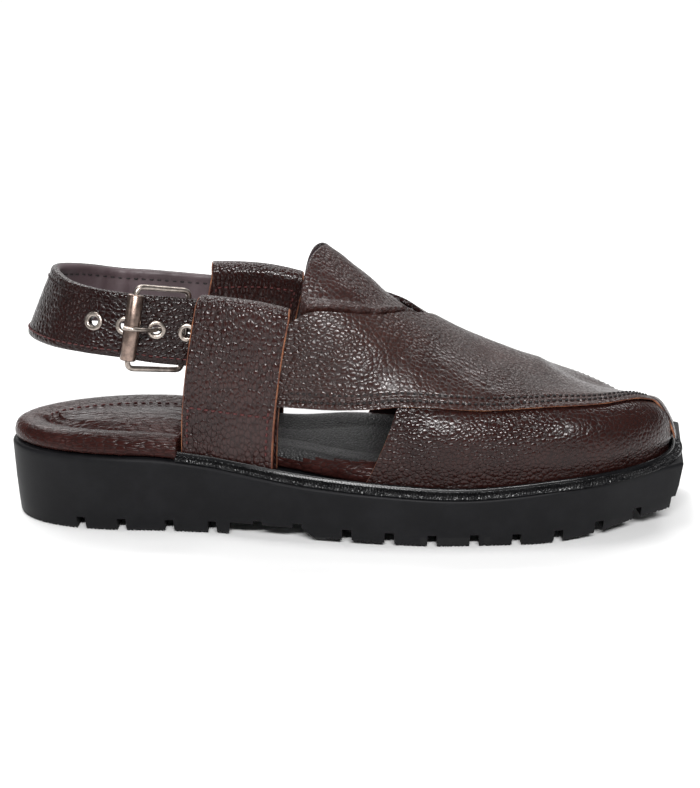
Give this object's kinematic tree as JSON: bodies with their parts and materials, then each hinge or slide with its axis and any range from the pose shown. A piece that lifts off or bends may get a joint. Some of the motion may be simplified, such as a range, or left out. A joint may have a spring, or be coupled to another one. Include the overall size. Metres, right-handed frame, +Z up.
{
  "type": "peshawari chappal",
  "caption": "Right shoe with crossed leather panels, standing tongue, open sides, buckled heel strap, padded insole and thick lugged rubber sole.",
  "frame": {"origin": "middle of the sole's box on the ground", "axes": "+X towards the toe, +Y towards the wearer's inner side, +Z up"},
  "size_m": [0.297, 0.1018, 0.1165],
  "materials": {
    "black_rubber": "semi-matte black rubber",
    "welt_rubber": "semi-gloss black rubber",
    "insole_leather": "soft brown padded leather",
    "upper_leather": "dark brown pebbled leather, low gloss",
    "tongue_leather": "dark brown pebbled leather, low gloss",
    "band_leather": "dark brown pebbled leather, low gloss",
    "strap_leather": "dark brown pebbled leather, low gloss",
    "aged_nickel": "aged warm nickel plate, scuffed"
  },
  "bodies": {
    "root": {"outsole": "black_rubber", "welt": "welt_rubber", "insole": "insole_leather", "upper": "upper_leather", "tongue": "tongue_leather", "band_lateral": "band_leather", "band_medial": "band_leather", "heel_strap": "strap_leather", "eyelet_1": "aged_nickel", "eyelet_2": "aged_nickel", "eyelet_3": "aged_nickel", "eyelet_4": "aged_nickel", "buckle_frame": "aged_nickel", "buckle_roller": "aged_nickel", "buckle_prong": "aged_nickel", "buckle_chape": "strap_leather"}
  },
  "joints": []
}
